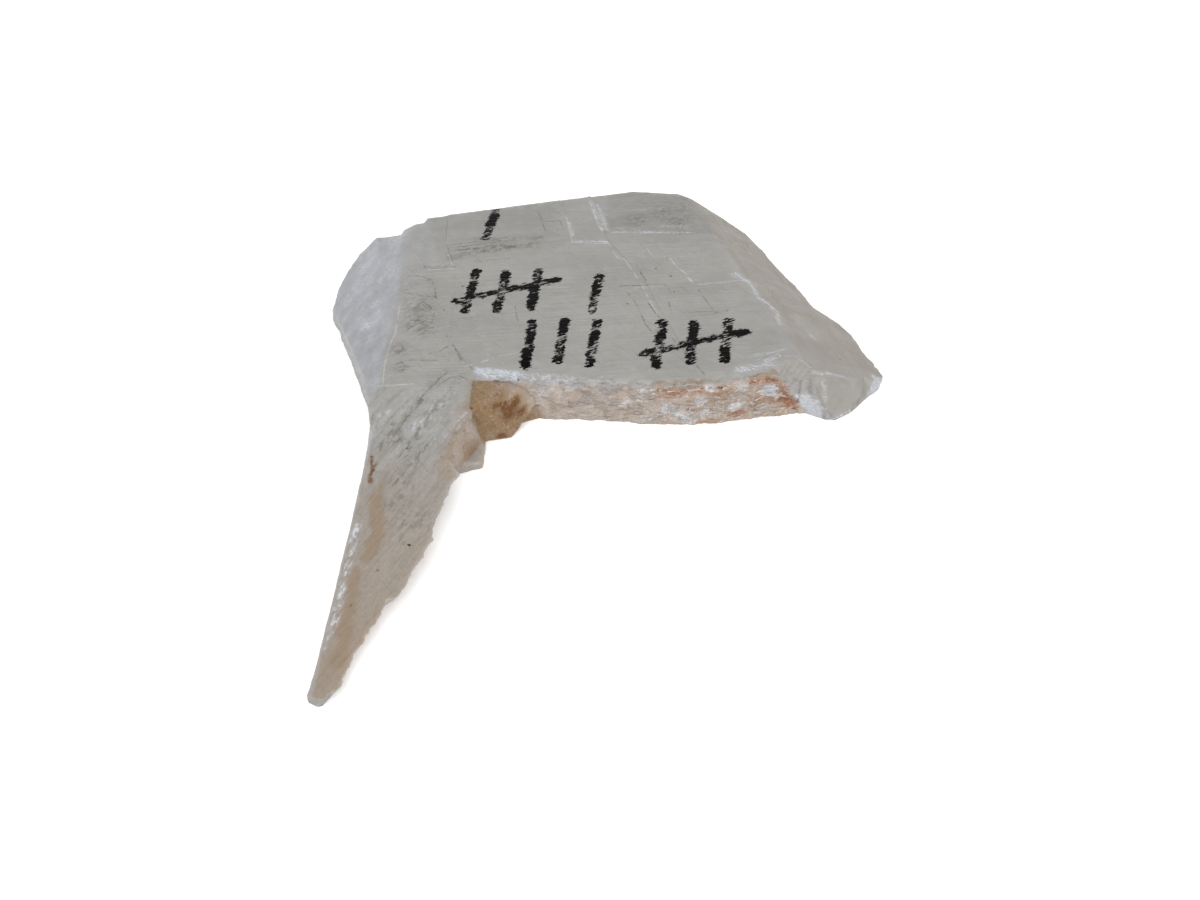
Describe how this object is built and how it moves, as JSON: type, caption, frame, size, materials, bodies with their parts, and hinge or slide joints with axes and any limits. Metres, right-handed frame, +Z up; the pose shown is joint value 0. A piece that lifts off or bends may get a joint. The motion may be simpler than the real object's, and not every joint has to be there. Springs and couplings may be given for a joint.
{
  "type": "selenite crystal",
  "caption": "Cloudy flat cleavage plate of selenite gypsum, broken to an L shape with a long tapering arm, bevelled sides and a fibrous broken wall.",
  "frame": {"origin": "middle of the bounding box at the flat base the crystal lies on", "axes": "+Z up through the thickness, -Y along the long tapering arm, +X along the broad arm"},
  "size_m": [0.1212, 0.1472, 0.0114],
  "materials": {
    "selenite": "cloudy, satin cleavage faces"
  },
  "bodies": {
    "root": {"selenite_crystal": "selenite"}
  },
  "joints": []
}
